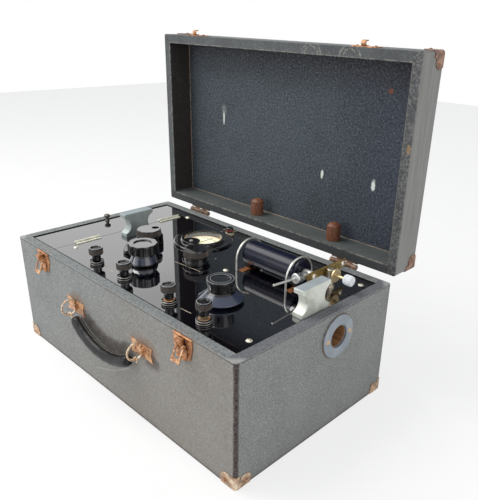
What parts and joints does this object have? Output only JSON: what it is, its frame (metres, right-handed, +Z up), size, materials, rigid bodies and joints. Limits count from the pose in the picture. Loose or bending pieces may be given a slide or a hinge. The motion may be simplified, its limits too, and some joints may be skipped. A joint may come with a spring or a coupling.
{
  "type": "wheatstone bridge",
  "caption": "Portable resistance-measuring bridge in a hinged carrying case: panel with knobs, terminals, galvanometer, coil and arm, lid with latches and handle.",
  "frame": {"origin": "centre of the case's flat underside", "axes": "+X to the right along the front, +Y from the front towards the lid hinges, +Z up"},
  "size_m": [0.4568, 0.3315, 0.4279],
  "materials": {
    "leathercloth": "worn dark leathercloth over wood, dusty sheen",
    "inner_wood": "plain softwood",
    "rusty_steel": "copper-brown plated steel, rusted and rubbed",
    "flange_grey": "blue-grey painted metal",
    "panel_black": "polished black insulating sheet",
    "cover_black": "polished black insulating sheet",
    "bakelite": "moulded black plastic, polished",
    "knurl_black": "moulded black plastic, worn knurl",
    "glass_clear": "clear flat glass",
    "dial_cream": "cream enamelled dial",
    "needle_black": "blackened pointer",
    "brass_dull": "dull brass",
    "nickel": "worn bright nickel plate",
    "copper": "tarnished copper",
    "aluminium_cast": "matt silver aluminium",
    "coil_black": "varnished black tube",
    "iron_core": "soft iron rod",
    "peg_wood": "red-brown turned wood",
    "grip_leather": "worn grey-black leather",
    "knob_white": "off-white knurled plastic",
    "button_black": "black cap with a red band",
    "socket_cream": "cream insulating collar",
    "fibre_board": "brown insulating board",
    "wire_green": "silk-covered resistance wire"
  },
  "bodies": {
    "case": {"base_case": "leathercloth", "base_corner_caps": "rusty_steel", "port_flange": "flange_grey", "inner_woodwork": "inner_wood", "panel": "panel_black", "panel_screws": "rusty_steel", "panel_hinge_leaves": "nickel", "meter_case": "bakelite", "meter_glass": "glass_clear", "meter_dial": "dial_cream", "switch_decks": "fibre_board", "resistance_bobbins": "wire_green", "terminal_bases": "nickel", "terminal_studs": "brass_dull", "button_socket": "socket_cream", "coil_tube": "coil_black", "coil_core": "iron_core", "saddle_strips": "copper", "retaining_bails": "nickel", "arm_post": "nickel", "pedestals": "aluminium_cast", "hinge_leaves_base": "rusty_steel", "latch_plates": "rusty_steel", "handle_plates": "rusty_steel", "handle_rings": "rusty_steel"},
    "lid": {"lid_shell": "leathercloth", "lid_pegs": "peg_wood", "lid_corner_caps": "rusty_steel", "lid_catches": "rusty_steel", "hinge_leaves_lid": "rusty_steel"},
    "cover": {"compartment_cover": "cover_black", "cover_hinge_leaves": "nickel", "cover_knob": "nickel"},
    "latch_lever_left": {"latch_lever_left": "rusty_steel"},
    "latch_lever_right": {"latch_lever_right": "rusty_steel"},
    "latch_loop_left": {"latch_loop_left": "rusty_steel"},
    "latch_loop_right": {"latch_loop_right": "rusty_steel"},
    "handle": {"handle_grip": "grip_leather"},
    "knob_lever": {"knob_lever": "bakelite", "rotor_lever": "brass_dull"},
    "knob_fluted": {"knob_fluted": "bakelite", "rotor_fluted": "brass_dull"},
    "knob_knurled": {"knob_knurled": "bakelite", "rotor_knurled": "brass_dull"},
    "knob_skirted": {"knob_skirted": "bakelite", "rotor_skirted": "brass_dull"},
    "terminal_head_1": {"terminal_head_1": "knurl_black"},
    "terminal_head_2": {"terminal_head_2": "knurl_black"},
    "terminal_head_3": {"terminal_head_3": "knurl_black"},
    "terminal_head_4": {"terminal_head_4": "knurl_black"},
    "button": {"button_cap": "button_black"},
    "needle": {"meter_needle": "needle_black"},
    "adjuster": {"zero_adjuster": "nickel"},
    "arm": {"arm_strip": "brass_dull", "chuck_hub": "nickel", "probe_rod": "nickel"},
    "chuck_nut": {"chuck_nut": "nickel"},
    "clamp_screw": {"clamp_screw": "knob_white"}
  },
  "joints": [
    {"name": "lid_hinge", "type": "hinge", "parent": "case", "child": "lid", "pos_m": [0, 0.136, 0.154], "axis": [1, 0, 0], "range_deg": [0, 90]},
    {"name": "cover_hinge", "type": "hinge", "parent": "case", "child": "cover", "pos_m": [-0.1515, 0, 0.1544], "axis": [0, -1, 0], "range_deg": [-100, 0]},
    {"name": "latch_lever_left_pivot", "type": "hinge", "parent": "case", "child": "latch_lever_left", "pos_m": [-0.153, -0.1365, 0.147], "axis": [1, 0, 0], "range_deg": [-150, 0]},
    {"name": "latch_loop_left_pivot", "type": "hinge", "parent": "latch_lever_left", "child": "latch_loop_left", "pos_m": [-0.153, -0.1345, 0.142], "axis": [-1, 0, 0], "range_deg": [-18, 156]},
    {"name": "latch_lever_right_pivot", "type": "hinge", "parent": "case", "child": "latch_lever_right", "pos_m": [0.147, -0.1365, 0.147], "axis": [1, 0, 0], "range_deg": [-150, 0]},
    {"name": "latch_loop_right_pivot", "type": "hinge", "parent": "latch_lever_right", "child": "latch_loop_right", "pos_m": [0.147, -0.1345, 0.142], "axis": [-1, 0, 0], "range_deg": [-18, 156]},
    {"name": "handle_swing", "type": "hinge", "parent": "case", "child": "handle", "pos_m": [0, -0.1395, 0.101], "axis": [-1, 0, 0], "range_deg": [-4, 150]},
    {"name": "knob_lever_turn", "type": "hinge", "parent": "case", "child": "knob_lever", "pos_m": [-0.078, -0.012, 0.1525], "axis": [0, 0, 1], "range_deg": [-60, 60]},
    {"name": "knob_fluted_turn", "type": "hinge", "parent": "case", "child": "knob_fluted", "pos_m": [-0.031, -0.054, 0.1525], "axis": [0, 0, 1], "range_deg": [-135, 135]},
    {"name": "knob_knurled_turn", "type": "hinge", "parent": "case", "child": "knob_knurled", "pos_m": [0.014, -0.004, 0.1525], "axis": [0, 0, 1], "range_deg": [-135, 135]},
    {"name": "knob_skirted_turn", "type": "hinge", "parent": "case", "child": "knob_skirted", "pos_m": [0.116, -0.052, 0.1525], "axis": [0, 0, 1], "range_deg": [-135, 135]},
    {"name": "terminal_head_1_turn", "type": "hinge", "parent": "case", "child": "terminal_head_1", "pos_m": [-0.07, -0.0985, 0.165], "axis": [0, 0, 1], "range_deg": [0, 1080]},
    {"name": "terminal_head_2_turn", "type": "hinge", "parent": "case", "child": "terminal_head_2", "pos_m": [-0.007, -0.0985, 0.165], "axis": [0, 0, 1], "range_deg": [0, 1080]},
    {"name": "terminal_head_3_turn", "type": "hinge", "parent": "case", "child": "terminal_head_3", "pos_m": [0.082, -0.0985, 0.165], "axis": [0, 0, 1], "range_deg": [-720, 720]},
    {"name": "terminal_head_4_turn", "type": "hinge", "parent": "case", "child": "terminal_head_4", "pos_m": [0.142, -0.0985, 0.165], "axis": [0, 0, 1], "range_deg": [-1080, 360]},
    {"name": "button_press", "type": "slide", "parent": "case", "child": "button", "axis": [0, 0, -1], "range_m": [0, 0.0024], "stiffness_N_per_m": 300, "springref_m": -0.001},
    {"name": "needle_swing", "type": "hinge", "parent": "case", "child": "needle", "pos_m": [-0.04, 0.031, 0.152], "axis": [0, 0, 1], "range_deg": [-28, 28], "stiffness_Nm_per_rad": 0.00001},
    {"name": "adjuster_turn", "type": "hinge", "parent": "case", "child": "adjuster", "pos_m": [-0.04, 0.031, 0.1595], "axis": [0, 0, 1], "range_deg": [-60, 60]},
    {"name": "arm_tilt", "type": "hinge", "parent": "case", "child": "arm", "pos_m": [0.1709, 0.069, 0.1695], "axis": [1, 0, 0], "range_deg": [-20, 6]},
    {"name": "chuck_nut_turn", "type": "hinge", "parent": "arm", "child": "chuck_nut", "pos_m": [0.1635, 0.02208, 0.17312], "axis": [0, 0.9962, -0.0872], "range_deg": [0, 360]},
    {"name": "clamp_screw_turn", "type": "hinge", "parent": "case", "child": "clamp_screw", "pos_m": [0.192, 0.069, 0.1695], "axis": [1, 0, 0], "range_deg": [-180, 360]}
  ]
}
